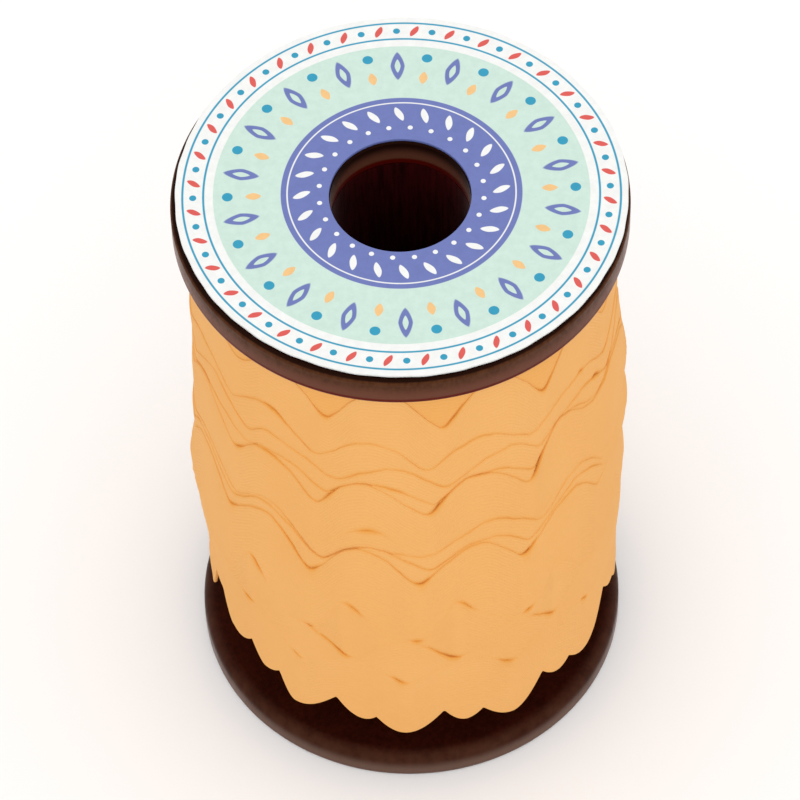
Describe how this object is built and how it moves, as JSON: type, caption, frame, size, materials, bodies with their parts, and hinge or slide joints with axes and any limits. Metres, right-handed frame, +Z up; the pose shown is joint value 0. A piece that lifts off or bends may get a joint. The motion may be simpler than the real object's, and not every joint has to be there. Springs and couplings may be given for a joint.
{
  "type": "spool of ric rac trim",
  "caption": "Wide ric rac braid wound in overlapping layers on a turned wooden spool with two round flanges, a paper label disc and a hole along its axis.",
  "frame": {"origin": "centre of the underside of the bottom flange, on the spool's axis", "axes": "+Z up the spool's axis towards the label; the side that the picture shows is at -Y"},
  "size_m": [0.0644, 0.0644, 0.1016],
  "materials": {
    "stained_wood": "dark stained, thin satin varnish",
    "printed_paper": "matte coated paper, printed",
    "apricot_braid": "flat wavy cotton braid"
  },
  "bodies": {
    "root": {"spool_barrel": "stained_wood", "flange_bottom": "stained_wood", "flange_top": "stained_wood", "paper_label": "printed_paper", "ric_rac_winding": "apricot_braid"}
  },
  "joints": []
}
